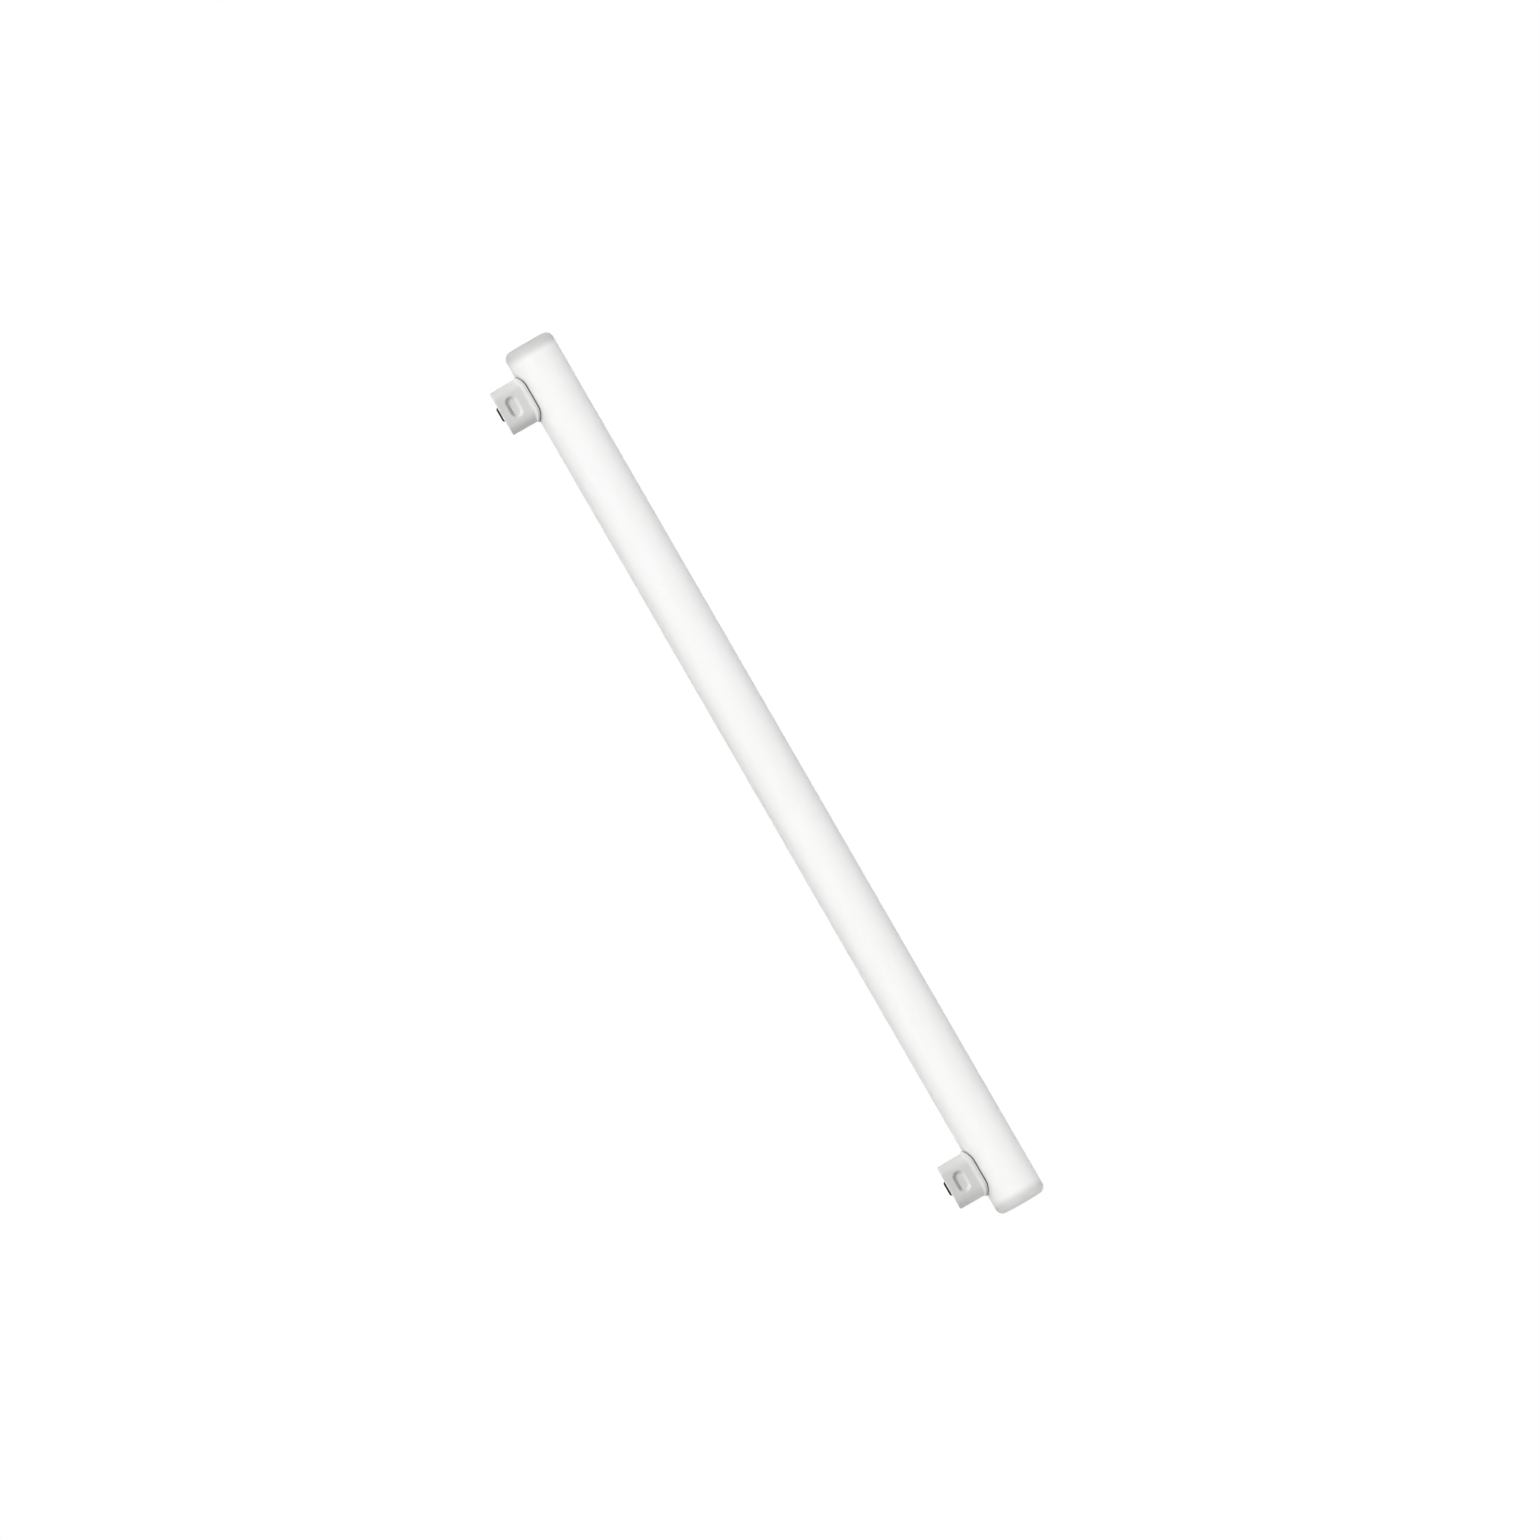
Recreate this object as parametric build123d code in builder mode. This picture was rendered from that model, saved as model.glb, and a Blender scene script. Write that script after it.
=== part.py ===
"""Linear LED tube lamp with two side bases, in millimetres.

The tube lies along X and both bases point down, so the lamp stands on its two contacts.
Z = 0 is the plane of the contact faces, and the origin is midway between the contacts.
"""

import os

from build123d import *

# Tube: a closed opal tube with flat, round-cornered ends
tube_length = 500.0
tube_diameter = 27.0
tube_end_radius = 3.8

# Bases: two moulded cups across the underside of the tube
base_inset = 25.0  # from each end of the tube to the middle of its base
base_length = 24.2  # along the tube
base_width = 14.6  # across the tube
base_corner_radius = 5.9  # seen from below
base_drop = 15.4  # from the lowest line of the tube to the underside of the base
base_edge_chamfer = 0.6
base_wall = 1.6
base_floor = 2.2

# Collar: the saddle-shaped flange round the mouth of each base
collar_end_overhang = 0.8  # past the base, along the tube
collar_side_overhang = 1.6  # past the base, across the tube
collar_corner_radius = 7.0
collar_thickness = 1.1  # at the sides
collar_end_thickness = 0.4  # under its flat ends
collar_edge_chamfer = 0.25

# Seal: the adhesive bed between collar and tube
seal_thickness = 0.5
seal_setback = 0.25  # from the edge of the collar

# Detents: the recesses in both long sides of a base, where the holder's springs catch
detent_margin = 0.35  # from the round corners of the base
detent_height = 6.6
detent_rise = 7.7  # from the underside of the base to the middle of the detent
detent_depth = 1.8
detent_draft = 45.0  # slope of its walls, in degrees
detent_lip_chamfer = 0.3

# Contacts: a metal strip, folded through the floor of each base and clinched inside
contact_length = 8.1  # along the tube
contact_width = 6.0
contact_thickness = 1.0
contact_bend = 0.3  # inside radius of its folds
contact_tab = 2.4  # clinched length on each side
contact_clearance = 0.05

# Places, levels and radii that follow
base_reach = tube_length / 2 - base_inset
tube_radius = tube_diameter / 2
seat_radius = tube_radius + seal_thickness
collar_radius = seat_radius + collar_thickness
base_level = contact_thickness
floor_level = base_level + base_floor
axis_level = base_level + base_drop + tube_radius
collar_level = axis_level - seat_radius - collar_end_thickness
detent_level = base_level + detent_rise

# Outlines that follow, seen from below
half_width = base_width / 2
collar_length = base_length + 2 * collar_end_overhang
collar_width = base_width + 2 * collar_side_overhang
cavity_length = base_length - 2 * base_wall
cavity_width = base_width - 2 * base_wall
cavity_corner_radius = base_corner_radius - base_wall
detent_length = base_length - 2 * (base_corner_radius + detent_margin)

# Fold lines of a contact strip, along its middle layer
leg_reach = (contact_length - contact_thickness) / 2
tab_reach = leg_reach + contact_tab
pad_level = contact_thickness / 2
tab_level = floor_level + contact_thickness / 2
fold_radius = contact_bend + contact_thickness / 2
slot_room = contact_bend + contact_clearance
slot_length = contact_thickness + 2 * slot_room
slot_width = contact_width + 2 * contact_clearance

os.makedirs("parts", exist_ok=True)

# The closed tube, turned about its own axis
with BuildPart() as tube:
    with BuildSketch(Plane.XZ) as half_section:
        with Locations((0, axis_level)):
            Rectangle(tube_length, tube_radius, align=(Align.CENTER, Align.MIN))
        fillet(half_section.vertices().group_by(Axis.Y)[-1], tube_end_radius)
    revolve(axis=Axis((0, 0, axis_level), (1, 0, 0)))
tube.part.label = "tube"
export_step(tube.part, "parts/tube.step")

for side, middle in (("left", -base_reach), ("right", base_reach)):
    underside = Plane((middle, 0, base_level))
    cavity_floor = Plane((middle, 0, floor_level))
    collar_ends = Plane((middle, 0, collar_level))
    tube_section = Plane(origin=(middle, 0, axis_level), x_dir=(0, 1, 0), z_dir=(1, 0, 0))

    # The moulded base: collar, hollow body, detents and the slots for its contact
    with BuildPart() as base:
        with BuildSketch(collar_ends):
            RectangleRounded(collar_length, collar_width, collar_corner_radius)
        extrude(amount=axis_level - collar_level)
        with BuildSketch(tube_section):
            Circle(collar_radius)
        extrude(amount=collar_length, both=True, mode=Mode.INTERSECT)
        flange = base.faces().sort_by(Axis.Z)[:3].edges()
        folds = flange.group_by(SortBy.LENGTH)[-1]  # between its curved sides and its flat ends
        chamfer(flange - folds, collar_edge_chamfer)

        with BuildSketch(underside):
            RectangleRounded(base_length, base_width, base_corner_radius)
        extrude(amount=axis_level - base_level)
        chamfer(base.faces().sort_by(Axis.Z)[0].edges(), base_edge_chamfer)
        with BuildSketch(tube_section):
            Circle(seat_radius)
        extrude(amount=collar_length, both=True, mode=Mode.SUBTRACT)

        with BuildSketch(cavity_floor):
            RectangleRounded(cavity_length, cavity_width, cavity_corner_radius)
        extrude(amount=axis_level - floor_level, mode=Mode.SUBTRACT)

        for facing in (-1, 1):
            outer_wall = Plane(
                origin=(middle, facing * half_width, detent_level), x_dir=(1, 0, 0), z_dir=(0, facing, 0)
            )
            with BuildSketch(outer_wall.offset(-base_wall)):
                SlotOverall(detent_length, detent_height)
            extrude(amount=-detent_depth)
            with BuildSketch(outer_wall):
                SlotOverall(detent_length, detent_height)
            extrude(amount=-detent_depth, taper=detent_draft, mode=Mode.SUBTRACT)
            inward = Axis(outer_wall.origin, -outer_wall.z_dir)
            mouth = base.edges(Select.LAST).group_by(inward)[0]
            chamfer(mouth, detent_lip_chamfer)

        with BuildSketch(underside):
            with Locations((-leg_reach, 0), (leg_reach, 0)):
                Rectangle(slot_length, slot_width)
        extrude(amount=base_floor, mode=Mode.SUBTRACT)
    base.part.label = f"base_{side}"
    export_step(base.part, f"parts/base_{side}.step")

    # The adhesive bed that seals the collar to the tube
    with BuildPart() as seal:
        with BuildSketch(underside):
            RectangleRounded(
                collar_length - 2 * seal_setback,
                collar_width - 2 * seal_setback,
                collar_corner_radius - seal_setback,
            )
            RectangleRounded(cavity_length, cavity_width, cavity_corner_radius, mode=Mode.SUBTRACT)
        extrude(amount=axis_level - base_level)
        with BuildSketch(tube_section):
            Circle(seat_radius)
        extrude(amount=collar_length, both=True, mode=Mode.INTERSECT)
        with BuildSketch(tube_section):
            Circle(tube_radius)
        extrude(amount=collar_length, both=True, mode=Mode.SUBTRACT)
    seal.part.label = f"seal_{side}"
    export_step(seal.part, f"parts/seal_{side}.step")

    # The contact strip, folded through both slots and clinched on the cavity floor
    with BuildPart() as contact:
        with BuildSketch(Plane(origin=(middle, 0, 0), x_dir=(1, 0, 0), z_dir=(0, -1, 0))):
            with BuildLine():
                FilletPolyline(
                    (-tab_reach, tab_level),
                    (-leg_reach, tab_level),
                    (-leg_reach, pad_level),
                    (leg_reach, pad_level),
                    (leg_reach, tab_level),
                    (tab_reach, tab_level),
                    radius=fold_radius,
                )
            trace(line_width=contact_thickness)
        extrude(amount=contact_width / 2, both=True)
    contact.part.label = f"contact_{side}"
    export_step(contact.part, f"parts/contact_{side}.step")
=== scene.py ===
"""Dresses a straight opal LED tube lamp that stands on the contacts of its two side bases.

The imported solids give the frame. Each of them is replaced by a mesh of the same form, with the
rounded edges and the finish of the real piece. Sizes in the classes are in millimetres.
"""

from __future__ import annotations

import logging
import math
from dataclasses import dataclass, field
from enum import Enum
from typing import Any, Mapping, Protocol, Sequence

import bmesh
import bpy
from mathutils import Matrix, Vector


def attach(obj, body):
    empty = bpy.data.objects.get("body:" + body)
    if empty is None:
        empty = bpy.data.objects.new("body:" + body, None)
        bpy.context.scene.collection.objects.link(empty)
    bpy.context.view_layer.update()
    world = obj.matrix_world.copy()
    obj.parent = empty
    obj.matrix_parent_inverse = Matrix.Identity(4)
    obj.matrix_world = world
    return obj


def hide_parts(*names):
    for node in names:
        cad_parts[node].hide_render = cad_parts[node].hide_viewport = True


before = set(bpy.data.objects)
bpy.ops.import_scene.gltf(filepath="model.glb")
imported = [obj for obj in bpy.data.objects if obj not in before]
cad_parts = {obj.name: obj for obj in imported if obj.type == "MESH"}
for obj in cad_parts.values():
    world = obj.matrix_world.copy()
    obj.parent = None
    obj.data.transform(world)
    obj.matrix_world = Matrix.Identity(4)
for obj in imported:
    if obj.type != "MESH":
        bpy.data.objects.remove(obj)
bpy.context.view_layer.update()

log = logging.getLogger("tube_lamp")

MM = 0.001
TOUCH = 0.001  # millimetres within which two points are one
MIX_FACTOR, MIX_A, MIX_B, MIX_COLOUR = 0, 6, 7, 2


class Slot(Enum):
    """The record's material slots."""

    OPAL_GLASS = "opal_glass"
    BASE_PLASTIC = "base_plastic"
    SEAL_ADHESIVE = "seal_adhesive"
    CONTACT_METAL = "contact_metal"


class Side(Enum):
    """The two ends of the lamp."""

    LEFT = "left"
    RIGHT = "right"


def linear(colour: str) -> tuple[float, float, float, float]:
    """Turns an sRGB hex colour to linear light.

    Args:
        colour: Six hex digits after a hash sign.

    Returns:
        Linear red, green and blue, and an alpha of 1.
    """
    shares = [int(colour[place : place + 2], 16) / 255 for place in (1, 3, 5)]
    red, green, blue = (
        share / 12.92 if share <= 0.04045 else ((share + 0.055) / 1.055) ** 2.4 for share in shares
    )
    return red, green, blue, 1.0


def per_metre(size: float) -> float:
    """Gives a texture's scale for features of a size in millimetres."""
    return 1 / (size * MM)


def add_node(
    tree: bpy.types.NodeTree, kind: str, inputs: Mapping[str | int, Any], **settings: Any
) -> bpy.types.Node:
    """Adds a node to a tree, with its settings, values and links.

    Args:
        tree: The node tree.
        kind: The node's type name.
        inputs: A value, or a socket to link from, for each input by name or number.
        **settings: The node's own properties.

    Returns:
        The new node.
    """
    node = tree.nodes.new(kind)
    for name, value in settings.items():
        setattr(node, name, value)
    for name, value in inputs.items():
        if isinstance(value, bpy.types.NodeSocket):
            tree.links.new(value, node.inputs[name])
        else:
            node.inputs[name].default_value = value
    return node


def new_material(name: str) -> tuple[bpy.types.Material, bpy.types.NodeTree]:
    """Makes an empty node material.

    Args:
        name: The material's name.

    Returns:
        The material and its node tree.
    """
    material = bpy.data.materials.new(name)
    material.use_nodes = True
    material.node_tree.nodes.clear()
    return material, material.node_tree


class Finish(Protocol):
    """What a piece is made of and how its surface was made."""

    def material(self) -> bpy.types.Material:
        """Makes the material."""


@dataclass(frozen=True)
class EtchedOpalGlass:
    """Flashed opal glass with a satin, acid-etched skin: milky, soft, with no clear reflections.

    Towards both ends it is painted greyer: painted shade, where less light falls on the closed ends.
    """

    body: str = "#F8F8F7"
    thin_body: str = "#F3F3F2"
    # painted shade: a grey tint that darkens both ends of the tube
    end_body: str = "#D5D5D4"
    end_shade_reach: tuple[float, float] = (242.0, 247.0)  # where it starts to turn greyer, and where it ends
    roughness: tuple[float, float] = (0.46, 0.56)
    ior: float = 1.5
    specular: float = 0.3
    scatter: float = 4.0
    flow: float = 26.0
    draw: tuple[float, float, float] = (0.35, 1.0, 1.0)  # its clouds are longer along the tube
    etch: float = 0.6  # the real grain is under 0.05, too fine to show
    etch_depth: float = 0.02
    etch_strength: float = 0.12

    def material(self) -> bpy.types.Material:
        """Makes milky glass whose opal layer clouds along its draw, whose ends are painted greyer as shade
        and whose skin is etched.

        Returns:
            The material.
        """
        material, tree = new_material("Etched opal glass")
        place = add_node(tree, "ShaderNodeTexCoord", {}).outputs["Object"]
        drawn = add_node(tree, "ShaderNodeMapping", {"Vector": place, "Scale": self.draw})
        cloud = add_node(
            tree,
            "ShaderNodeTexNoise",
            {"Vector": drawn.outputs["Vector"], "Scale": per_metre(self.flow), "Detail": 2.0},
        )
        tone = add_node(
            tree,
            "ShaderNodeMix",
            {
                MIX_FACTOR: cloud.outputs["Fac"],
                MIX_A: linear(self.thin_body),
                MIX_B: linear(self.body),
            },
            data_type="RGBA",
        )
        # painted shade: the colour turns greyer towards both ends of the tube
        along = add_node(tree, "ShaderNodeSeparateXYZ", {"Vector": place})
        reach = add_node(tree, "ShaderNodeMath", {0: along.outputs["X"]}, operation="ABSOLUTE")
        end_shade_mask = add_node(
            tree,
            "ShaderNodeMapRange",
            {
                "Value": reach.outputs["Value"],
                "From Min": self.end_shade_reach[0] * MM,
                "From Max": self.end_shade_reach[1] * MM,
            },
            interpolation_type="SMOOTHSTEP",
        )
        shaded = add_node(
            tree,
            "ShaderNodeMix",
            {
                MIX_FACTOR: end_shade_mask.outputs["Result"],
                MIX_A: tone.outputs[MIX_COLOUR],
                MIX_B: linear(self.end_body),
            },
            data_type="RGBA",
        )
        grain = add_node(
            tree,
            "ShaderNodeTexNoise",
            {"Vector": place, "Scale": per_metre(self.etch), "Detail": 1.0},
        )
        satin = add_node(
            tree,
            "ShaderNodeMapRange",
            {
                "Value": grain.outputs["Fac"],
                "To Min": self.roughness[0],
                "To Max": self.roughness[1],
            },
        )
        skin = add_node(
            tree,
            "ShaderNodeBump",
            {
                "Height": grain.outputs["Fac"],
                "Strength": self.etch_strength,
                "Distance": self.etch_depth * MM,
            },
        )
        shader = add_node(
            tree,
            "ShaderNodeBsdfPrincipled",
            {
                "Base Color": shaded.outputs[MIX_COLOUR],
                "Roughness": satin.outputs["Result"],
                "Normal": skin.outputs["Normal"],
                "IOR": self.ior,
                "Specular IOR Level": self.specular,
                "Subsurface Weight": 1.0,
                "Subsurface Radius": (1.0, 1.0, 1.0),
                "Subsurface Scale": self.scatter * MM,
            },
        )
        add_node(tree, "ShaderNodeOutputMaterial", {"Surface": shader.outputs["BSDF"]})
        return material


@dataclass(frozen=True)
class SparkGrainedPbt:
    """PBT, moulded in a spark-eroded cavity: light grey, matt, with rubbed edges a little paler."""

    body: str = "#D8D8D7"
    shade: str = "#D1D1D0"
    rubbed: str = "#E2E2E1"
    roughness: tuple[float, float] = (0.5, 0.62)
    ior: float = 1.55
    specular: float = 0.35
    flow: float = 7.0
    edge: tuple[float, float] = (0.52, 0.6)  # pointiness where rubbing starts, and where it is full
    wear: float = 0.5
    grain: float = 0.35  # the real grain is about 0.05, too fine to show
    grain_depth: float = 0.03
    grain_strength: float = 0.2

    def material(self) -> bpy.types.Material:
        """Makes matt plastic with the cavity's grain, faint melt flow and paler edges.

        Returns:
            The material.
        """
        material, tree = new_material("Spark-grained PBT moulding")
        place = add_node(tree, "ShaderNodeTexCoord", {}).outputs["Object"]
        flow = add_node(
            tree,
            "ShaderNodeTexNoise",
            {"Vector": place, "Scale": per_metre(self.flow), "Detail": 3.0},
        )
        tone = add_node(
            tree,
            "ShaderNodeMix",
            {
                MIX_FACTOR: flow.outputs["Fac"],
                MIX_A: linear(self.shade),
                MIX_B: linear(self.body),
            },
            data_type="RGBA",
        )
        edge = add_node(
            tree,
            "ShaderNodeMapRange",
            {
                "Value": add_node(tree, "ShaderNodeNewGeometry", {}).outputs["Pointiness"],
                "From Min": self.edge[0],
                "From Max": self.edge[1],
                "To Max": self.wear,
            },
        )
        worn = add_node(
            tree,
            "ShaderNodeMix",
            {
                MIX_FACTOR: edge.outputs["Result"],
                MIX_A: tone.outputs[MIX_COLOUR],
                MIX_B: linear(self.rubbed),
            },
            data_type="RGBA",
        )
        grain = add_node(
            tree,
            "ShaderNodeTexNoise",
            {"Vector": place, "Scale": per_metre(self.grain), "Detail": 2.0},
        )
        matt = add_node(
            tree,
            "ShaderNodeMapRange",
            {
                "Value": grain.outputs["Fac"],
                "To Min": self.roughness[0],
                "To Max": self.roughness[1],
            },
        )
        skin = add_node(
            tree,
            "ShaderNodeBump",
            {
                "Height": grain.outputs["Fac"],
                "Strength": self.grain_strength,
                "Distance": self.grain_depth * MM,
            },
        )
        shader = add_node(
            tree,
            "ShaderNodeBsdfPrincipled",
            {
                "Base Color": worn.outputs[MIX_COLOUR],
                "Roughness": matt.outputs["Result"],
                "Normal": skin.outputs["Normal"],
                "IOR": self.ior,
                "Specular IOR Level": self.specular,
            },
        )
        add_node(tree, "ShaderNodeOutputMaterial", {"Surface": shader.outputs["BSDF"]})
        return material


@dataclass(frozen=True)
class CuredSilicone:
    """Filled silicone adhesive, pressed out and cured: dull and slightly uneven; its near-black grey is
    partly its own and partly painted shade of the narrow joint.
    """

    # near-black: the adhesive's dark grey, darkened further as painted shade of the joint between collar
    # and tube
    body: str = "#303133"
    skin: str = "#262729"
    roughness: tuple[float, float] = (0.55, 0.75)
    ior: float = 1.41
    specular: float = 0.3
    lump: float = 1.6
    lump_depth: float = 0.12
    lump_strength: float = 0.5
    filler: float = 0.3

    def material(self) -> bpy.types.Material:
        """Makes dull rubber with uneven tone, fine filler specks and a lumpy skin.

        Returns:
            The material.
        """
        material, tree = new_material("Cured silicone adhesive")
        place = add_node(tree, "ShaderNodeTexCoord", {}).outputs["Object"]
        lumps = add_node(
            tree,
            "ShaderNodeTexNoise",
            {"Vector": place, "Scale": per_metre(self.lump), "Detail": 2.0},
        )
        specks = add_node(
            tree,
            "ShaderNodeTexNoise",
            {"Vector": place, "Scale": per_metre(self.filler), "Detail": 1.0},
        )
        tone = add_node(
            tree,
            "ShaderNodeMix",
            {
                MIX_FACTOR: lumps.outputs["Fac"],
                MIX_A: linear(self.skin),
                MIX_B: linear(self.body),
            },
            data_type="RGBA",
        )
        dull = add_node(
            tree,
            "ShaderNodeMapRange",
            {
                "Value": specks.outputs["Fac"],
                "To Min": self.roughness[0],
                "To Max": self.roughness[1],
            },
        )
        swell = add_node(
            tree,
            "ShaderNodeBump",
            {
                "Height": lumps.outputs["Fac"],
                "Strength": self.lump_strength,
                "Distance": self.lump_depth * MM,
            },
        )
        shader = add_node(
            tree,
            "ShaderNodeBsdfPrincipled",
            {
                "Base Color": tone.outputs[MIX_COLOUR],
                "Roughness": dull.outputs["Result"],
                "Normal": swell.outputs["Normal"],
                "IOR": self.ior,
                "Specular IOR Level": self.specular,
            },
        )
        add_node(tree, "ShaderNodeOutputMaterial", {"Surface": shader.outputs["BSDF"]})
        return material


@dataclass(frozen=True)
class DarkPlatedSteel:
    """Cold-rolled steel strip, dark nickel plated: rolling lines along it, rubbed brighter on edges."""

    plate: str = "#2C2D2F"
    dull_plate: str = "#232426"
    rubbed: str = "#47484A"
    roughness: tuple[float, float] = (0.34, 0.5)
    line: float = 0.3  # the real rolling lines are about 0.02 apart, too fine to show
    line_depth: float = 0.02
    line_strength: float = 0.15
    rolling: tuple[float, float, float] = (0.03, 1.0, 0.4)  # lines run along the strip and its folds
    stain: float = 2.5
    edge: tuple[float, float] = (0.53, 0.62)  # pointiness where rubbing starts, and where it is full
    wear: float = 0.7

    def material(self) -> bpy.types.Material:
        """Makes dark metal with rolling lines, uneven plating and rubbed edges.

        Returns:
            The material.
        """
        material, tree = new_material("Dark plated rolled steel")
        place = add_node(tree, "ShaderNodeTexCoord", {}).outputs["Object"]
        rolled = add_node(tree, "ShaderNodeMapping", {"Vector": place, "Scale": self.rolling})
        lines = add_node(
            tree,
            "ShaderNodeTexNoise",
            {"Vector": rolled.outputs["Vector"], "Scale": per_metre(self.line), "Detail": 2.0},
        )
        stains = add_node(
            tree,
            "ShaderNodeTexNoise",
            {"Vector": place, "Scale": per_metre(self.stain), "Detail": 3.0},
        )
        tone = add_node(
            tree,
            "ShaderNodeMix",
            {
                MIX_FACTOR: stains.outputs["Fac"],
                MIX_A: linear(self.dull_plate),
                MIX_B: linear(self.plate),
            },
            data_type="RGBA",
        )
        edge = add_node(
            tree,
            "ShaderNodeMapRange",
            {
                "Value": add_node(tree, "ShaderNodeNewGeometry", {}).outputs["Pointiness"],
                "From Min": self.edge[0],
                "From Max": self.edge[1],
                "To Max": self.wear,
            },
        )
        worn = add_node(
            tree,
            "ShaderNodeMix",
            {
                MIX_FACTOR: edge.outputs["Result"],
                MIX_A: tone.outputs[MIX_COLOUR],
                MIX_B: linear(self.rubbed),
            },
            data_type="RGBA",
        )
        satin = add_node(
            tree,
            "ShaderNodeMapRange",
            {
                "Value": lines.outputs["Fac"],
                "To Min": self.roughness[0],
                "To Max": self.roughness[1],
            },
        )
        scored = add_node(
            tree,
            "ShaderNodeBump",
            {
                "Height": lines.outputs["Fac"],
                "Strength": self.line_strength,
                "Distance": self.line_depth * MM,
            },
        )
        shader = add_node(
            tree,
            "ShaderNodeBsdfPrincipled",
            {
                "Base Color": worn.outputs[MIX_COLOUR],
                "Roughness": satin.outputs["Result"],
                "Normal": scored.outputs["Normal"],
                "Metallic": 1.0,
            },
        )
        add_node(tree, "ShaderNodeOutputMaterial", {"Surface": shader.outputs["BSDF"]})
        return material


@dataclass(frozen=True)
class Outline:
    """A round-cornered rectangle."""

    length: float
    width: float
    corner: float

    def grown(self, margin: float) -> Outline:
        """Gives the outline moved outwards by a margin, or inwards by a negative one."""
        return Outline(self.length + 2 * margin, self.width + 2 * margin, self.corner + margin)

    def point(self, corner: Vector, turn: Vector) -> Vector:
        """Gives a point of the outline.

        Args:
            corner: Which corner it belongs to, or where it lies between two, from -1 to 1 each way.
            turn: Which way the outline faces there.

        Returns:
            The point.
        """
        along = corner.x * (self.length / 2 - self.corner) + turn.x * self.corner
        across = corner.y * (self.width / 2 - self.corner) + turn.y * self.corner
        return Vector((along, across, 0.0))

    def place_of(self, point: Vector) -> tuple[Vector, Vector]:
        """Gives the corner and turn of a point, as the point method takes them.

        Args:
            point: A point of the outline.

        Returns:
            Its corner and its turn.
        """
        room = Vector((self.length / 2 - self.corner, self.width / 2 - self.corner, 0.0))
        inner = Vector(
            [math.copysign(min(abs(value), limit), value) for value, limit in zip(point, room)]
        )
        turn = (Vector((point.x, point.y, 0.0)) - inner) / self.corner
        return Vector((inner.x / room.x, inner.y / room.y, 0.0)), turn

    def towards(self, other: Outline, share: float) -> Outline:
        """Gives an outline between this one and another.

        Args:
            other: The outline at a share of 1.
            share: How far to go.

        Returns:
            The outline between.
        """
        return Outline(
            self.length + (other.length - self.length) * share,
            self.width + (other.width - self.width) * share,
            self.corner + (other.corner - self.corner) * share,
        )


class Seat(Protocol):
    """A surface that a flat ring is laid on."""

    def lay(self, point: Vector) -> Vector:
        """Moves a point of the flat ring to its place."""


@dataclass(frozen=True)
class Level:
    """A level plane, with the ring's middle at a place along the tube."""

    height: float
    middle: float = 0.0

    def lay(self, point: Vector) -> Vector:
        """Lifts a point to the plane."""
        return Vector((point.x + self.middle, point.y, self.height))


@dataclass(frozen=True)
class Saddle:
    """A surface round the tube's axis, cut flat at a depth, or a step straight below it."""

    axis: float
    radius: float
    drop: float = 0.0
    depth: float = math.inf

    def lay(self, point: Vector) -> Vector:
        """Lifts a point to the surface."""
        below = min(math.sqrt(self.radius**2 - point.y**2), self.depth)
        return Vector((point.x, point.y, self.axis - below - self.drop))


@dataclass(frozen=True)
class Wall:
    """An upright plane along the tube, with the ring's middle at a height."""

    reach: float
    height: float

    def lay(self, point: Vector) -> Vector:
        """Stands a point up on the plane."""
        return Vector((point.x, self.reach, self.height + point.y))


@dataclass(frozen=True)
class Station:
    """A cut across a folded strip, at a place and a slope of its middle layer."""

    along: float
    height: float
    slope: float

    def lay(self, point: Vector) -> Vector:
        """Turns a point of the section to the cut."""
        across = Vector((-math.sin(self.slope), 0.0, math.cos(self.slope)))
        return Vector((self.along, point.y, self.height)) + across * point.x


def select_only(piece: bpy.types.Object) -> None:
    """Selects a piece and nothing else, and makes it the active one.

    Args:
        piece: The piece.
    """
    bpy.ops.object.select_all(action="DESELECT")
    piece.select_set(True)
    bpy.context.view_layer.objects.active = piece


def shade(piece: bpy.types.Object, crease: float) -> None:
    """Shades a piece smooth, with flat faces kept flat beside their rounded edges.

    Args:
        piece: The piece.
        crease: The angle, in degrees, above which an edge stays sharp.
    """
    select_only(piece)
    bpy.ops.object.shade_smooth_by_angle(angle=math.radians(crease))
    bpy.ops.object.modifier_add(type="WEIGHTED_NORMAL")
    piece.modifiers[-1].keep_sharp = True
    bpy.ops.object.modifier_apply(modifier=piece.modifiers[-1].name)


def hand_over(piece: bpy.types.Object, node: str, finish: Finish) -> bpy.types.Object:
    """Dresses a finished piece and puts it in a node's place.

    Args:
        piece: The piece.
        node: The node that it replaces.
        finish: What it is made of.

    Returns:
        The piece.
    """
    piece.data.materials.clear()
    piece.data.materials.append(finish.material())
    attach(piece, "root")
    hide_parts(node)
    log.info("%s stands for %s: %d faces", piece.name, node, len(piece.data.polygons))
    return piece


Step = tuple[Outline, Seat]  # a ring's shape while flat, and the surface that it is laid on


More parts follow.
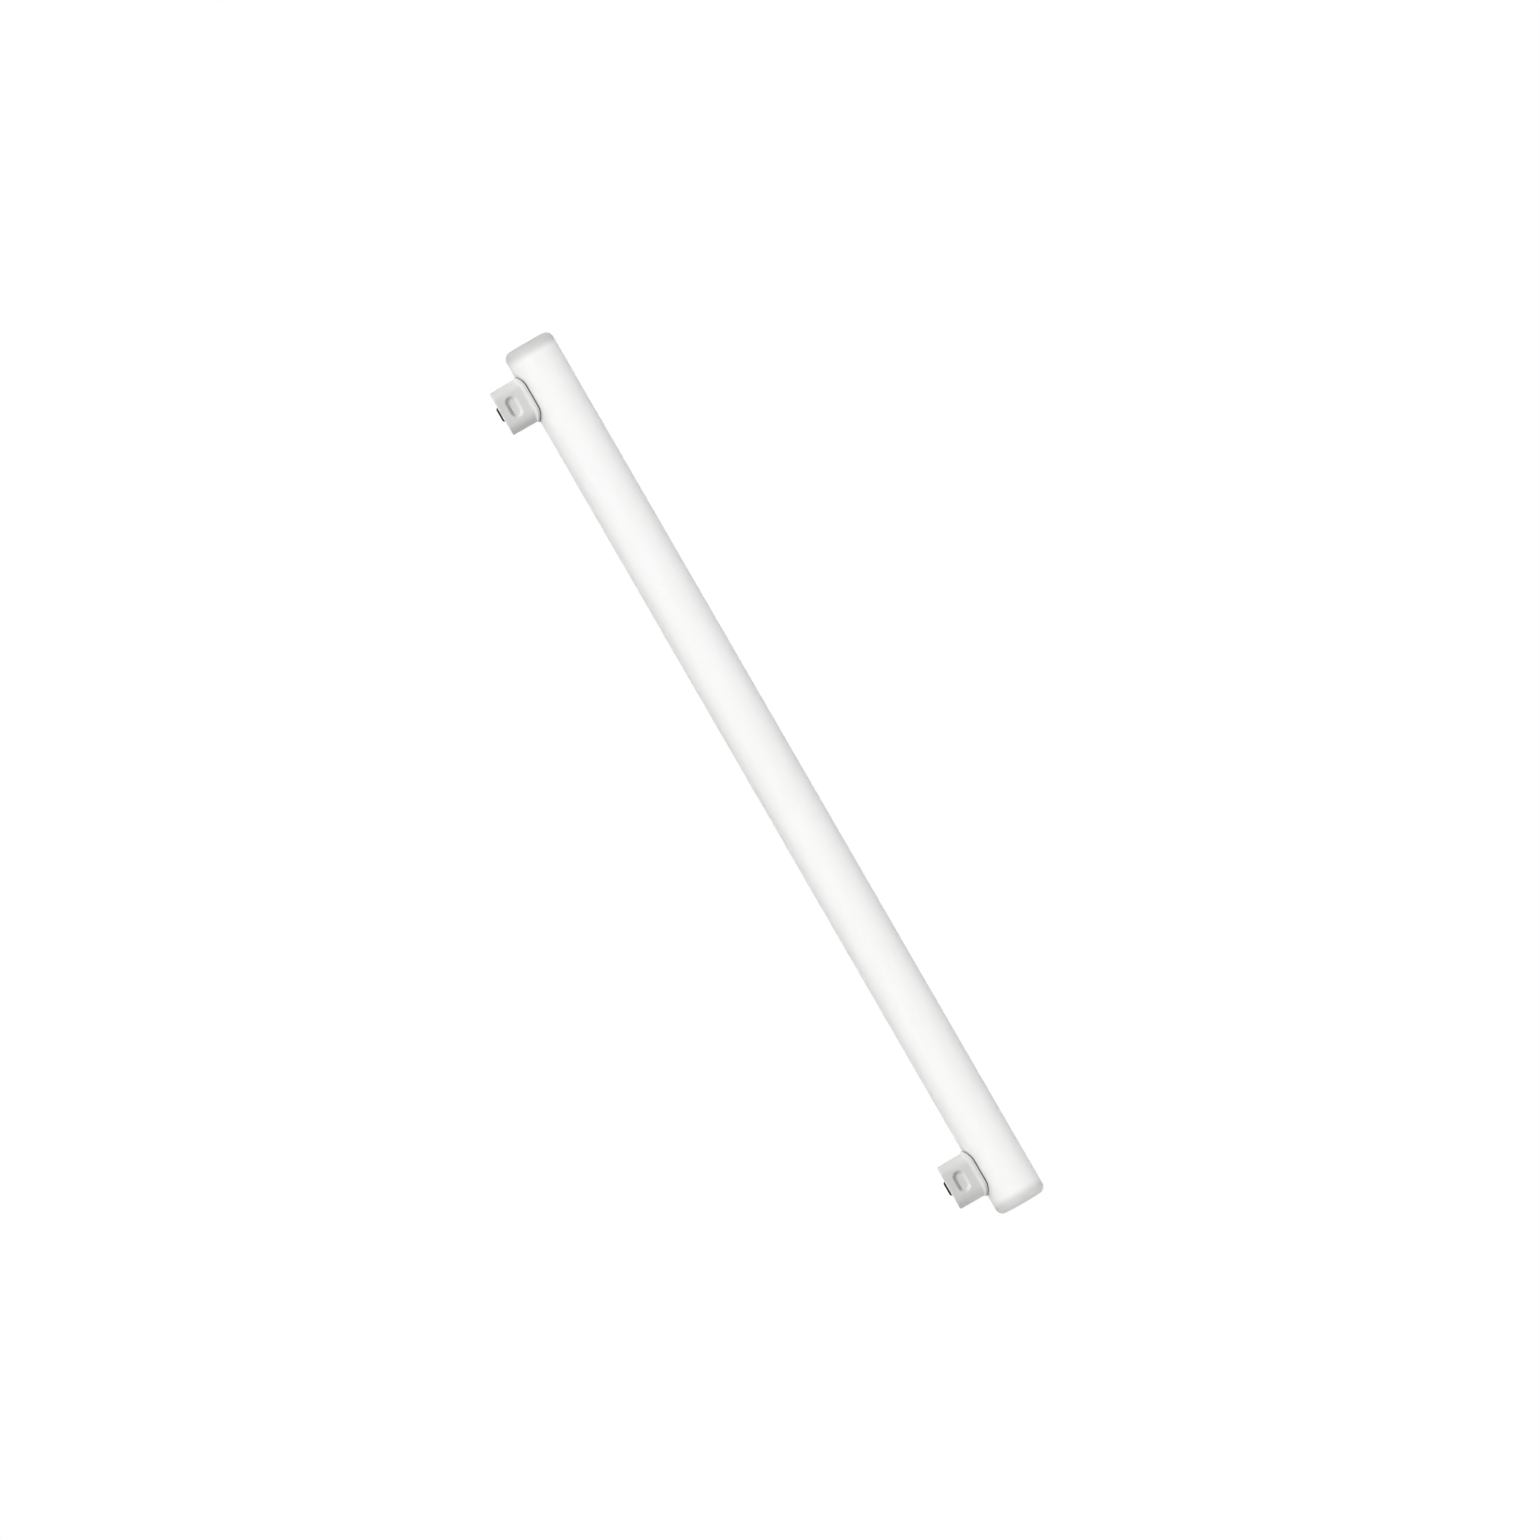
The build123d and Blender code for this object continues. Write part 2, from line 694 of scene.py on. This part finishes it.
class Modeller:
    """Models one mesh in edit mode, by pulling round-cornered rings from step to step."""

    def __init__(self, name: str, corner_steps: int) -> None:
        """Starts an empty mesh in edit mode.

        Args:
            name: The piece's name.
            corner_steps: How many edges round each corner of a ring.
        """
        bpy.ops.object.select_all(action="DESELECT")
        bpy.ops.mesh.primitive_plane_add(size=MM)
        self.piece = bpy.context.object
        self.piece.name = name
        self.corner_steps = corner_steps
        self.rings = 0
        bpy.ops.object.mode_set(mode="EDIT")
        bpy.ops.mesh.select_mode(type="EDGE")
        bpy.ops.mesh.delete(type="VERT")
        self.mesh.edges.layers.int.new("ring")
        self.mesh.verts.layers.float_vector.new("corner")
        self.mesh.verts.layers.float_vector.new("turn")

    @property
    def mesh(self) -> bmesh.types.BMesh:
        """The mesh as it is being edited."""
        return bmesh.from_edit_mesh(self.piece.data)

    def sweep(self, steps: Sequence[Step], end_cuts: int = 0) -> tuple[int, int]:
        """Pulls a ring through a row of steps, with faces between them.

        Args:
            steps: The outlines and the surfaces that they are laid on.
            end_cuts: How many points are added to each of the ring's short sides.

        Returns:
            The numbers of the first and the last ring.
        """
        first = self.add_ring(*steps[0], end_cuts)
        for outline, seat in steps[1:]:
            bpy.ops.mesh.extrude_edges_indiv()
            self.lay(outline, seat)
        return first, self.rings

    def add_ring(self, outline: Outline, seat: Seat, end_cuts: int) -> int:
        """Adds a ring of edges, shaped from a plane.

        Args:
            outline: The ring's shape while flat.
            seat: The surface that it is laid on.
            end_cuts: How many points are added to each of its short sides.

        Returns:
            The ring's number.
        """
        bpy.ops.mesh.select_all(action="DESELECT")
        bpy.ops.mesh.primitive_plane_add(size=1.0)
        bpy.ops.transform.resize(value=(outline.length, outline.width, 1.0), center_override=(0, 0, 0))
        bpy.ops.mesh.bevel(
            offset=outline.corner, segments=self.corner_steps, affect="VERTICES", clamp_overlap=False
        )
        bpy.ops.mesh.delete(type="ONLY_FACE")
        self.select_new(0.0)
        if end_cuts:
            self.select_new(outline.length / 2 - TOUCH)
            bpy.ops.mesh.subdivide(number_cuts=end_cuts)
            self.select_new(0.0)
        corner = self.mesh.verts.layers.float_vector["corner"]
        turn = self.mesh.verts.layers.float_vector["turn"]
        for vertex in self.mesh.verts:
            if vertex.select:
                vertex[corner], vertex[turn] = outline.place_of(vertex.co)
        return self.lay(outline, seat)

    def select_new(self, reach: float) -> None:
        """Selects the edges of a new flat ring, or only those at its ends.

        Args:
            reach: How far out along the tube the edges are at least.
        """
        bpy.ops.mesh.select_all(action="DESELECT")
        layer = self.mesh.edges.layers.int["ring"]
        for edge in self.mesh.edges:
            if edge[layer] == 0 and not edge.link_faces:
                edge.select_set(all(abs(vertex.co.x) >= reach for vertex in edge.verts))
        bmesh.update_edit_mesh(self.piece.data)

    def lay(self, outline: Outline, seat: Seat) -> int:
        """Gives the selected ring its number and lays it in place.

        Args:
            outline: The ring's shape while flat.
            seat: The surface that it is laid on.

        Returns:
            The ring's number.
        """
        self.rings += 1
        ring = self.mesh.edges.layers.int["ring"]
        corner = self.mesh.verts.layers.float_vector["corner"]
        turn = self.mesh.verts.layers.float_vector["turn"]
        for edge in self.mesh.edges:
            if edge.select:
                edge[ring] = self.rings
        for vertex in self.mesh.verts:
            if vertex.select:
                vertex.co = seat.lay(outline.point(vertex[corner], vertex[turn])) * MM
        bmesh.update_edit_mesh(self.piece.data)
        return self.rings

    def select_rings(self, *rings: int) -> None:
        """Selects the edges of some rings, and nothing else.

        Args:
            *rings: The rings' numbers.
        """
        bpy.ops.mesh.select_all(action="DESELECT")
        layer = self.mesh.edges.layers.int["ring"]
        for edge in self.mesh.edges:
            if edge[layer] in rings:
                edge.select_set(True)
        bmesh.update_edit_mesh(self.piece.data)

    def cap(self, ring: int) -> None:
        """Closes a ring with one flat face."""
        self.select_rings(ring)
        bpy.ops.mesh.edge_face_add()

    def fill(self, *rings: int) -> None:
        """Fills the flat face between an outer ring and the holes in it."""
        self.select_rings(*rings)
        bpy.ops.mesh.fill()

    def open_wall(self, reach: float) -> int:
        """Takes out the flat face that lies on an upright plane along the tube.

        Args:
            reach: Where the plane is, across the tube.

        Returns:
            The number of the ring that is left round the opening.
        """
        self.rings += 1
        layer = self.mesh.edges.layers.int["ring"]
        bpy.ops.mesh.select_all(action="DESELECT")
        for face in self.mesh.faces:
            if all(abs(vertex.co.y / MM - reach) < TOUCH for vertex in face.verts):
                face.select_set(True)
                for edge in face.edges:
                    edge[layer] = self.rings
        bpy.ops.mesh.delete(type="ONLY_FACE")
        return self.rings

    def finish(self, crease: float) -> bpy.types.Object:
        """Merges, turns all faces outwards and shades the mesh.

        Args:
            crease: The angle, in degrees, above which an edge stays sharp.

        Returns:
            The finished piece.
        """
        bpy.ops.mesh.select_all(action="SELECT")
        bpy.ops.mesh.remove_doubles(threshold=TOUCH * MM)
        bpy.ops.mesh.normals_make_consistent(inside=False)
        bpy.ops.object.mode_set(mode="OBJECT")
        for name in ("ring", "corner", "turn"):
            self.piece.data.attributes.remove(self.piece.data.attributes[name])
        shade(self.piece, crease)
        return self.piece


@dataclass
class OpalTube:
    """The closed tube, which lies along X over both bases."""

    length: float = 500.0
    diameter: float = 27.0
    end_radius: float = 3.8
    axis: float = 29.9
    facets: int = 160
    spans: int = 48
    end_steps: int = 14
    cap_margin: float = 0.5  # a narrow rim of face that keeps the ends flat
    crease: float = 40.0  # degrees above which an edge stays sharp
    finish: Finish = EtchedOpalGlass()

    def build(self) -> bpy.types.Object:
        """Turns a cylinder into the tube, with round-cornered ends, and dresses it.

        Returns:
            The tube.
        """
        bpy.ops.object.select_all(action="DESELECT")
        bpy.ops.mesh.primitive_cylinder_add(
            vertices=self.facets,
            radius=self.diameter / 2 * MM,
            depth=self.length * MM,
            location=(0, 0, self.axis * MM),
            rotation=(0, math.radians(90), 0),
        )
        tube = bpy.context.object
        tube.name = "opal_tube"
        bpy.ops.object.transform_apply(location=True, rotation=True, scale=True)
        bpy.ops.object.mode_set(mode="EDIT")
        self.select_rims(tube)
        bpy.ops.mesh.bevel(offset=self.end_radius * MM, segments=self.end_steps, affect="EDGES")
        self.select_ends(tube)
        bpy.ops.mesh.inset(thickness=self.cap_margin * MM)
        self.select_lines(tube)
        bpy.ops.mesh.subdivide(number_cuts=self.spans - 1)
        bpy.ops.object.mode_set(mode="OBJECT")
        shade(tube, self.crease)
        return hand_over(tube, "tube", self.finish)

    def select_rims(self, tube: bpy.types.Object) -> None:
        """Selects the two round edges of the plain cylinder.

        Args:
            tube: The tube, in edit mode.
        """
        bpy.ops.mesh.select_mode(type="EDGE")
        bpy.ops.mesh.select_all(action="DESELECT")
        mesh = bmesh.from_edit_mesh(tube.data)
        for edge in mesh.edges:
            first, second = (vertex.co.x for vertex in edge.verts)
            edge.select_set(abs(first - second) < TOUCH * MM)
        bmesh.update_edit_mesh(tube.data)

    def select_ends(self, tube: bpy.types.Object) -> None:
        """Selects the two flat end faces.

        Args:
            tube: The tube, in edit mode.
        """
        bpy.ops.mesh.select_mode(type="FACE")
        bpy.ops.mesh.select_all(action="DESELECT")
        mesh = bmesh.from_edit_mesh(tube.data)
        for face in mesh.faces:
            if abs(abs(face.calc_center_median().x) - self.length / 2 * MM) < TOUCH * MM:
                face.select_set(True)
        bmesh.update_edit_mesh(tube.data)

    def select_lines(self, tube: bpy.types.Object) -> None:
        """Selects the long edges along the tube.

        Args:
            tube: The tube, in edit mode.
        """
        bpy.ops.mesh.select_mode(type="EDGE")
        bpy.ops.mesh.select_all(action="DESELECT")
        mesh = bmesh.from_edit_mesh(tube.data)
        for edge in mesh.edges:
            if edge.calc_length() > self.length / 2 * MM:
                edge.select_set(True)
        bmesh.update_edit_mesh(tube.data)


@dataclass
class SideBase:
    """One base under the tube: a moulded cup with a saddle collar, its seal and its contact."""

    reach: float = 225.0  # from the middle of the lamp
    axis: float = 29.9
    tube_radius: float = 13.5
    body: Outline = Outline(24.2, 14.6, 5.9)
    collar: Outline = Outline(25.8, 17.8, 7.0)
    cavity: Outline = Outline(21.0, 11.4, 4.3)
    underside: float = 1.0
    floor: float = 3.2
    edge_radius: float = 0.9
    collar_thickness: float = 1.1
    collar_end_thickness: float = 0.4
    collar_edge: float = 0.15
    collar_root: float = 0.5  # share of the collar's overhang that its flared root takes
    root_drop: float = 1.0
    cavity_root: float = 0.5
    seal_thickness: float = 0.5
    seal_setback: float = 0.25
    seal_hollow: float = 0.12
    detent: Outline = Outline(11.7, 6.6, 3.25)
    detent_height: float = 8.7
    detent_depth: float = 1.8
    detent_slope: float = 45.0  # degrees, so its walls go in as far as they go down
    detent_lip: float = 0.7
    detent_root: float = 0.6
    strip: Outline = Outline(1.0, 6.0, 0.15)  # the contact's section; the next five give its middle layer
    leg_reach: float = 3.55
    tab_reach: float = 5.95
    pad_height: float = 0.5
    tab_height: float = 3.7
    fold: float = 0.8
    slot: Outline = Outline(1.7, 6.1, 0.15)
    steps: int = 6  # round each rounded edge
    corner_steps: int = 12
    strip_corner_steps: int = 3
    end_cuts: int = 3
    crease: float = 50.0  # degrees above which an edge stays sharp
    plastic: Finish = SparkGrainedPbt()
    adhesive: Finish = CuredSilicone()
    metal: Finish = DarkPlatedSteel()
    pieces: dict[str, bpy.types.Object] = field(default_factory=dict)

    def arc(self, start: float, end: float) -> list[float]:
        """Gives the angles of a rounded edge, in radians, from angles in degrees."""
        turn = (end - start) / self.steps
        return [math.radians(start + turn * step) for step in range(self.steps + 1)]

    @property
    def seat_radius(self) -> float:
        """The radius of the collar's mouth, on the seal."""
        return self.tube_radius + self.seal_thickness

    def build_moulding(self) -> bpy.types.Object:
        """Models the cup from its underside up to the collar, over its edge and down inside.

        Returns:
            The moulding, round the middle of the lamp.
        """
        shape = Modeller("moulded_base_left", self.corner_steps)
        underside, floor = shape.sweep(
            self.outer_steps() + self.collar_steps() + self.cavity_steps(), self.end_cuts
        )
        levels = (self.underside, self.floor)
        slots = [
            shape.sweep([(self.slot, Level(level, side * self.leg_reach)) for level in levels])
            for side in (-1, 1)
        ]
        shape.fill(underside, *(slot[0] for slot in slots))
        shape.fill(floor, *(slot[1] for slot in slots))
        for facing in (-1, 1):
            opening = shape.open_wall(facing * self.body.width / 2)
            mouth, bed = shape.sweep(self.detent_steps(facing))
            shape.fill(opening, mouth)
            shape.cap(bed)
        return shape.finish(self.crease)

    def outer_steps(self) -> list[Step]:
        """Gives the steps from the underside, round its edge to the walls.

        Returns:
            The steps.
        """
        return [
            (
                self.body.grown(self.edge_radius * (math.sin(angle) - 1)),
                Level(self.underside + self.edge_radius * (1 - math.cos(angle))),
            )
            for angle in self.arc(0, 90)
        ]

    def collar_steps(self) -> list[Step]:
        """Gives the steps from the collar's root, under it and round its edge to the mouth.

        Returns:
            The steps.
        """
        radius = self.seat_radius + self.collar_thickness
        depth = self.seat_radius + self.collar_end_thickness
        lip = self.collar_edge / 2
        root = [
            (
                self.body.towards(self.collar, self.collar_root * (1 - math.cos(angle))),
                Saddle(self.axis, radius, self.root_drop * (1 - math.sin(angle)), depth),
            )
            for angle in self.arc(0, 90)
        ]
        edge = [
            (
                self.collar.grown(self.collar_edge * (math.sin(angle) - 1)),
                Saddle(self.axis, radius, self.collar_edge * (math.cos(angle) - 1), depth),
            )
            for angle in self.arc(0, 90)
        ]
        mouth = [
            (
                self.collar.grown(lip * (math.cos(angle) - 1)),
                Saddle(self.axis, self.seat_radius + lip * (1 - math.sin(angle))),
            )
            for angle in self.arc(0, 90)
        ]
        return root + edge + mouth

    def cavity_steps(self) -> list[Step]:
        """Gives the steps from the mouth down the inside to its floor.

        Returns:
            The steps.
        """
        root = [
            (
                self.cavity.grown(self.cavity_root * (math.cos(angle) - 1)),
                Level(self.floor + self.cavity_root * (1 - math.sin(angle))),
            )
            for angle in self.arc(0, 90)
        ]
        return [(self.cavity, Saddle(self.axis, self.seat_radius))] + root

    def detent_steps(self, facing: int) -> list[Step]:
        """Gives the steps of a recess, over its round lip, down its slope and round its root.

        Args:
            facing: The side across the tube, -1 or 1.

        Returns:
            The steps, from the wall to the bed.
        """
        half = self.body.width / 2
        half_turn = math.tan(math.radians(self.detent_slope / 2))
        lip, root, depth = self.detent_lip, self.detent_root, self.detent_depth
        profile = [
            (lip * (math.sin(angle) - half_turn), lip * (1 - math.cos(angle)))
            for angle in self.arc(0, self.detent_slope)
        ]
        profile += [
            (depth + root * (half_turn - math.sin(angle)), depth - root * (1 - math.cos(angle)))
            for angle in self.arc(self.detent_slope, 0)
        ]
        return [
            (self.detent.grown(-inset), Wall(facing * (half - sunk), self.detent_height))
            for inset, sunk in profile
        ]

    def build_seal(self) -> bpy.types.Object:
        """Models the adhesive bed, a saddle ring whose outer face is drawn in a little.

        Returns:
            The seal, round the middle of the lamp.
        """
        shape = Modeller("sealing_bead_left", self.corner_steps)
        outer = self.collar.grown(-self.seal_setback)
        foot, crown = (
            (self.cavity, Saddle(self.axis, radius)) for radius in (self.seat_radius, self.tube_radius)
        )
        face = [
            (
                outer.grown(-self.seal_hollow * math.sin(angle)),
                Saddle(self.axis, self.tube_radius + self.seal_thickness * (1 + math.cos(angle)) / 2),
            )
            for angle in self.arc(0, 180)
        ]
        shape.sweep([foot, *face, crown, foot], self.end_cuts)
        return shape.finish(self.crease)

    def build_contact(self) -> bpy.types.Object:
        """Models the contact strip, folded through both slots and clinched on the floor.

        Returns:
            The contact, round the middle of the lamp.
        """
        shape = Modeller("contact_strip_left", self.strip_corner_steps)
        stations = [Station(-self.tab_reach, self.tab_height, 0.0)]
        stations += self.fold_stations(-self.leg_reach - self.fold, self.tab_height - self.fold, 90, 0)
        stations += self.fold_stations(-self.leg_reach + self.fold, self.pad_height + self.fold, 180, 270)
        stations += self.fold_stations(self.leg_reach - self.fold, self.pad_height + self.fold, 270, 360)
        stations += self.fold_stations(self.leg_reach + self.fold, self.tab_height - self.fold, 180, 90)
        stations.append(Station(self.tab_reach, self.tab_height, 0.0))
        start, end = shape.sweep([(self.strip, station) for station in stations])
        shape.cap(start)
        shape.cap(end)
        return shape.finish(self.crease)

    def fold_stations(self, along: float, height: float, start: float, end: float) -> list[Station]:
        """Gives the cuts round one fold of the contact strip.

        Args:
            along: The middle of the fold along the tube.
            height: The middle of the fold above the floor.
            start: Where the fold starts round its middle, in degrees from the tube's direction.
            end: Where it ends.

        Returns:
            The cuts, in order along the strip.
        """
        turn = math.radians(90 if end > start else -90)
        return [
            Station(
                along + self.fold * math.cos(angle), height + self.fold * math.sin(angle), angle + turn
            )
            for angle in self.arc(start, end)
        ]

    def build(self) -> None:
        """Models the left base, copies it to the right and dresses both."""
        kinds = (
            ("base", self.build_moulding(), self.plastic, Slot.BASE_PLASTIC),
            ("seal", self.build_seal(), self.adhesive, Slot.SEAL_ADHESIVE),
            ("contact", self.build_contact(), self.metal, Slot.CONTACT_METAL),
        )
        for node, left, finish, slot in kinds:
            right = self.copy_right(left)
            self.move(left, -self.reach)
            self.move(right, self.reach)
            self.pieces[f"{node}_{Side.LEFT.value}"] = left
            self.pieces[f"{node}_{Side.RIGHT.value}"] = right
            hand_over(left, f"{node}_{Side.LEFT.value}", finish)
            hand_over(right, f"{node}_{Side.RIGHT.value}", finish)

    def copy_right(self, left: bpy.types.Object) -> bpy.types.Object:
        """Copies a left piece, with a mesh of its own, for the right base.

        Args:
            left: The left piece.

        Returns:
            The right piece, still in the left one's place.
        """
        select_only(left)
        bpy.ops.object.duplicate(linked=False)
        right = bpy.context.object
        right.name = left.name.replace(Side.LEFT.value, Side.RIGHT.value)
        return right

    def move(self, piece: bpy.types.Object, along: float) -> None:
        """Moves a piece along the tube, with its place in its mesh.

        Args:
            piece: The piece.
            along: How far.
        """
        select_only(piece)
        bpy.ops.transform.translate(value=(along * MM, 0.0, 0.0))
        bpy.ops.object.transform_apply(location=True, rotation=True, scale=True)


class Direction(Enum):
    """Where a soft light hangs, seen from the lamp: to the right, away from the camera and up."""

    KEY = (-0.52, -0.68, -0.52)
    RIM = (1.0, 0.1, 0.0)
    FRONT = (0.0, -1.0, 0.0)
    TOP = (0.0, -0.1, 1.0)
    LOW = (0.0, -0.25, -1.0)
    BACK = (0.0, 1.0, 0.25)
    BACK_LEFT = (-0.8, 0.6, 0.1)
    BACK_RIGHT = (0.8, 0.6, 0.1)
    BACK_HIGH = (-0.2, 0.35, 0.9)


class Subject(Enum):
    """What a light shines on."""

    TUBE = "tube"
    BASES = "bases"
    FLOOR = "floor"


@dataclass(frozen=True)
class SoftLight:
    """A large soft light, with its power in watts."""

    direction: Direction
    power: float
    subject: Subject


@dataclass
class Studio:
    """The pale floor, the soft light and the camera."""

    subjects: dict[Subject, list[bpy.types.Object]]
    floor_radius: float = 1800.0
    floor_facets: int = 96
    floor_colour: str = "#F2F2F2"
    floor_white: float = 0.6  # glow that only the camera sees, so it lights nothing
    surround: str = "#FFFFFF"
    ambient: float = 0.18  # the surround's strength as light
    light_distance: float = 7800.0
    light_size: float = 4500.0
    lights: tuple[SoftLight, ...] = (
        SoftLight(Direction.KEY, 585.0, Subject.BASES),
        SoftLight(Direction.RIM, 540.0, Subject.BASES),
        SoftLight(Direction.FRONT, 780.0, Subject.TUBE),
        SoftLight(Direction.TOP, 120.0, Subject.TUBE),
        SoftLight(Direction.LOW, 130.0, Subject.TUBE),
        SoftLight(Direction.BACK, 440.0, Subject.BASES),
        SoftLight(Direction.BACK_LEFT, 330.0, Subject.TUBE),
        SoftLight(Direction.BACK_RIGHT, 330.0, Subject.TUBE),
        SoftLight(Direction.BACK_HIGH, 270.0, Subject.FLOOR),
    )
    target: tuple[float, float, float] = (-2.41, 0.0, 28.7)
    field_width: float = 775.4
    lens: float = 400.0
    sensor: float = 36.0
    roll: float = 59.98
    view_depth: float = 4.0  # how far the camera sees, in its distances from the lamp

    def build(self) -> None:
        """Builds the floor, the world, the lights and the camera."""
        floor = self.build_floor()
        self.subjects[Subject.FLOOR] = [floor]
        self.build_world()
        for light in self.lights:
            self.hang_light(light, floor)
        self.place_camera()
        bpy.context.scene.view_settings.view_transform = "Standard"

    def build_floor(self) -> bpy.types.Object:
        """Lays a pale round floor that looks white, keeps the lamp's shadow and is open from below.

        Returns:
            The floor.
        """
        bpy.ops.object.select_all(action="DESELECT")
        bpy.ops.mesh.primitive_circle_add(
            vertices=self.floor_facets,
            radius=self.floor_radius * MM,
            fill_type="NGON",
            location=(0, 0, 0),
        )
        floor = bpy.context.object
        floor.name = "studio_floor"
        material, tree = new_material("Pale studio floor")
        seen = self.seen_directly(tree)
        matt = add_node(tree, "ShaderNodeBsdfDiffuse", {"Color": linear(self.floor_colour)})
        level = add_node(
            tree,
            "ShaderNodeMapRange",
            {"Value": seen, "To Max": self.floor_white},
        )
        glow = add_node(tree, "ShaderNodeEmission", {"Strength": level.outputs["Result"]})
        lit = add_node(tree, "ShaderNodeAddShader", {0: matt.outputs["BSDF"], 1: glow.outputs["Emission"]})
        clear = add_node(tree, "ShaderNodeBsdfTransparent", {})
        faces = add_node(tree, "ShaderNodeNewGeometry", {})
        one_sided = add_node(
            tree,
            "ShaderNodeMixShader",
            {0: faces.outputs["Backfacing"], 1: lit.outputs["Shader"], 2: clear.outputs["BSDF"]},
        )
        add_node(tree, "ShaderNodeOutputMaterial", {"Surface": one_sided.outputs["Shader"]})
        floor.data.materials.append(material)
        return floor

    def seen_directly(self, tree: bpy.types.NodeTree) -> bpy.types.NodeSocket:
        """Tells what the camera sees, itself or in gloss or glass, from light on the lamp.

        Args:
            tree: The node tree.

        Returns:
            A socket with 1 for what the camera sees, and 0 for light.
        """
        path = add_node(tree, "ShaderNodeLightPath", {})
        glossy = add_node(
            tree,
            "ShaderNodeMath",
            {0: path.outputs["Is Camera Ray"], 1: path.outputs["Is Glossy Ray"]},
            operation="MAXIMUM",
        )
        through = add_node(
            tree,
            "ShaderNodeMath",
            {0: glossy.outputs["Value"], 1: path.outputs["Is Transmission Ray"]},
            operation="MAXIMUM",
        )
        return through.outputs["Value"]

    def build_world(self) -> None:
        """Makes a white surround that lights the lamp only as a dim soft fill."""
        world = bpy.data.worlds.new("White studio")
        world.use_nodes = True
        tree = world.node_tree
        tree.nodes.clear()
        level = add_node(
            tree,
            "ShaderNodeMapRange",
            {"Value": self.seen_directly(tree), "To Min": self.ambient, "To Max": 1.0},
        )
        surround = add_node(
            tree,
            "ShaderNodeBackground",
            {"Color": linear(self.surround), "Strength": level.outputs["Result"]},
        )
        add_node(tree, "ShaderNodeOutputWorld", {"Surface": surround.outputs["Background"]})
        bpy.context.scene.world = world

    def hang_light(self, soft: SoftLight, floor: bpy.types.Object) -> None:
        """Hangs a large soft light that faces the lamp.

        Args:
            soft: The light.
            floor: The floor, which lets light from below pass, as a light table does.
        """
        towards = Vector(soft.direction.value).normalized()
        aim = Vector(self.target) * MM
        bpy.ops.object.select_all(action="DESELECT")
        bpy.ops.object.light_add(type="AREA", location=aim + towards * self.light_distance * MM)
        light = bpy.context.object
        light.name = f"soft_light_{soft.direction.name.lower()}_on_{soft.subject.value}"
        light.rotation_euler = towards.to_track_quat("Z", "Y").to_euler()
        light.data.shape = "SQUARE"
        light.data.size = self.light_size * MM
        light.data.energy = soft.power
        light.visible_camera = False
        light.visible_glossy = False
        lit = bpy.data.collections.new("lit_by_" + light.name)
        for piece in self.subjects[soft.subject]:
            lit.objects.link(piece)
        light.light_linking.receiver_collection = lit
        if towards.z < 0:
            passed = bpy.data.collections.new("passed_by_" + light.name)
            passed.objects.link(floor)
            passed.collection_objects[0].light_linking.link_state = "EXCLUDE"
            light.light_linking.blocker_collection = passed

    def place_camera(self) -> None:
        """Puts a long-lens camera square to the tube, rolled as in the photograph."""
        turn = math.radians(self.roll)
        right = Vector((math.cos(turn), 0.0, math.sin(turn)))
        up = Vector((-math.sin(turn), 0.0, math.cos(turn)))
        back = right.cross(up)
        distance = self.field_width * self.lens / self.sensor
        bpy.ops.object.camera_add()
        camera = bpy.context.object
        camera.name = "camera"
        camera.data.lens = self.lens
        camera.data.sensor_width = self.sensor
        camera.data.clip_end = self.view_depth * distance * MM
        turned = Matrix((right, up, back)).transposed()
        camera.matrix_world = Matrix.LocRotScale(
            (Vector(self.target) + back * distance) * MM, turned.to_quaternion(), None
        )
        bpy.context.scene.camera = camera


def main() -> None:
    """Builds the lamp and the studio round it."""
    logging.basicConfig(level=logging.INFO, format="%(name)s: %(message)s")
    tube = OpalTube().build()
    bases = SideBase()
    bases.build()
    Studio({Subject.TUBE: [tube], Subject.BASES: list(bases.pieces.values())}).build()


if __name__ == "__main__":
    main()
